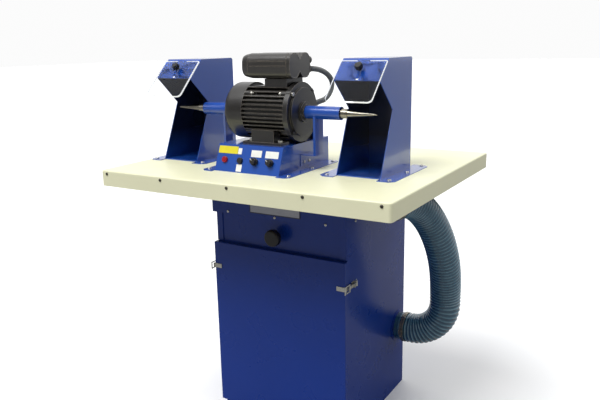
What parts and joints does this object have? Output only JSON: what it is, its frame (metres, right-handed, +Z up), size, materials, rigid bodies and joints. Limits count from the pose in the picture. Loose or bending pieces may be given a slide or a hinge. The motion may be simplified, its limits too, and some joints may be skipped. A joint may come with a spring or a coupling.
{
  "type": "taper spindle polishing machine",
  "caption": "Bench motor with a tapered spindle at each end, sheet-metal extraction hoods with clear shields, on a table over a dust-extraction cabinet.",
  "frame": {"origin": "centre of the cabinet's footprint, on the floor", "axes": "+Z up, -Y towards the operator, +X to the operator's right, along the spindle axis"},
  "size_m": [0.9902, 0.7827, 1.215],
  "materials": {
    "cabinet_blue": "deep royal blue gloss powder coat",
    "hood_blue": "bright blue gloss powder coat",
    "table_cream": "cream satin coat",
    "board_wood": "raw particle board",
    "fastener_steel": "bright zinc plated",
    "zinc_steel": "zinc plated sheet",
    "polished_steel": "polished steel",
    "lamination_steel": "laminated steel",
    "aluminium": "plain aluminium",
    "motor_black": "black satin paint",
    "housing_black": "black moulded plastic",
    "black_plastic": "black moulded plastic",
    "button_red": "red plastic",
    "label_yellow": "blank yellow film",
    "label_white": "blank white film",
    "plate_grey": "blank anodised plate",
    "clear_shield": "clear acrylic",
    "hose_teal": "translucent blue-green ribbed hose",
    "conduit_grey": "grey flexible conduit",
    "circuit_green": "printed circuit board",
    "filter_cloth": "woven filter cloth"
  },
  "bodies": {
    "root": {"cabinet_shell": "cabinet_blue", "top_rail": "cabinet_blue", "header_panel": "cabinet_blue", "header_screws": "fastener_steel", "name_plate": "plate_grey", "latch_bases": "zinc_steel", "tube_sheet": "zinc_steel", "filter_bags": "filter_cloth", "dust_tray": "zinc_steel", "fan_housing": "zinc_steel", "fan_motor": "motor_black", "table_board": "board_wood", "table_skin": "table_cream", "fascia_screws": "fastener_steel", "hood_left": "hood_blue", "hood_right": "hood_blue", "floor_grilles": "hood_blue", "shield_studs": "fastener_steel", "hose_spigots": "zinc_steel", "hose_left": "hose_teal", "hose_right": "hose_teal", "hose_clamps": "fastener_steel", "motor_base": "hood_blue", "switch_enclosure": "hood_blue", "control_board": "circuit_green", "warning_label": "label_yellow", "panel_labels": "label_white", "mounting_screws": "fastener_steel", "motor_frame": "motor_black", "end_shields": "motor_black", "fan_cover": "motor_black", "stator": "lamination_steel", "bearings": "polished_steel", "terminal_box": "motor_black", "capacitor_box": "housing_black", "capacitors": "aluminium", "cable_glands": "black_plastic", "conduit": "conduit_grey", "guard_tubes": "hood_blue", "motor_bolts": "fastener_steel"},
    "spindle": {"shaft": "polished_steel", "rotor": "lamination_steel", "cooling_fan": "black_plastic", "taper_left": "polished_steel", "taper_right": "polished_steel"},
    "impeller": {"fan_impeller": "aluminium"},
    "door": {"door_panel": "cabinet_blue", "latch_keepers": "zinc_steel"},
    "latch_left": {"latch_lever_left": "zinc_steel"},
    "latch_right": {"latch_lever_right": "zinc_steel"},
    "shaker": {"shaker_rod": "fastener_steel", "shaker_knob": "black_plastic"},
    "shield_left": {"shield_left": "clear_shield"},
    "shield_right": {"shield_right": "clear_shield"},
    "knob_left": {"clamp_knob_left": "black_plastic"},
    "knob_right": {"clamp_knob_right": "black_plastic"},
    "stop_button": {"stop_button": "button_red"},
    "start_button": {"start_button": "black_plastic"},
    "dial_left": {"dial_left": "black_plastic"},
    "dial_right": {"dial_right": "black_plastic"}
  },
  "joints": [
    {"name": "spindle_spin", "type": "hinge", "parent": "root", "child": "spindle", "pos_m": [0, -0.25, 1.047], "axis": [1, 0, 0], "continuous": true},
    {"name": "impeller_spin", "type": "hinge", "parent": "root", "child": "impeller", "pos_m": [0, 0.07, 0.68], "axis": [0, 0, 1], "continuous": true},
    {"name": "door_tilt", "type": "hinge", "parent": "root", "child": "door", "pos_m": [0, -0.229, 0.025], "axis": [1, 0, 0], "range_deg": [0, 60]},
    {"name": "latch_right_swing", "type": "hinge", "parent": "root", "child": "latch_right", "pos_m": [0.2495, -0.176, 0.521], "axis": [0, 0, 1], "range_deg": [0, 150]},
    {"name": "latch_left_swing", "type": "hinge", "parent": "root", "child": "latch_left", "pos_m": [-0.2495, -0.176, 0.521], "axis": [0, 0, 1], "range_deg": [-150, 0]},
    {"name": "shaker_pull", "type": "slide", "parent": "root", "child": "shaker", "axis": [0, -1, 0], "range_m": [0, 0.035]},
    {"name": "shield_left_slide", "type": "slide", "parent": "root", "child": "shield_left", "axis": [0, 0.7071, 0.7071], "range_m": [0, 0.029]},
    {"name": "shield_right_slide", "type": "slide", "parent": "root", "child": "shield_right", "axis": [0, 0.7071, 0.7071], "range_m": [0, 0.029]},
    {"name": "knob_left_turn", "type": "hinge", "parent": "root", "child": "knob_left", "pos_m": [-0.317, -0.29331, 1.17467], "axis": [0, -0.7071, 0.7071], "range_deg": [0, 360]},
    {"name": "knob_right_turn", "type": "hinge", "parent": "root", "child": "knob_right", "pos_m": [0.317, -0.29331, 1.17467], "axis": [0, -0.7071, 0.7071], "range_deg": [0, 360]},
    {"name": "stop_press", "type": "slide", "parent": "root", "child": "stop_button", "axis": [0, 0.9358, -0.3525], "range_m": [0, 0.003]},
    {"name": "start_press", "type": "slide", "parent": "root", "child": "start_button", "axis": [0, 0.9358, -0.3525], "range_m": [0, 0.003]},
    {"name": "dial_left_turn", "type": "hinge", "parent": "root", "child": "dial_left", "pos_m": [0.025, -0.37915, 0.91557], "axis": [0, -0.9358, 0.3525], "range_deg": [-45, 45]},
    {"name": "dial_right_turn", "type": "hinge", "parent": "root", "child": "dial_right", "pos_m": [0.078, -0.37915, 0.91557], "axis": [0, -0.9358, 0.3525], "range_deg": [-270, 0]}
  ],
  "couplings": [
    {"joint": "latch_right_swing", "follows": "door_tilt", "ratio": 2.4},
    {"joint": "latch_left_swing", "follows": "door_tilt", "ratio": -2.4}
  ]
}
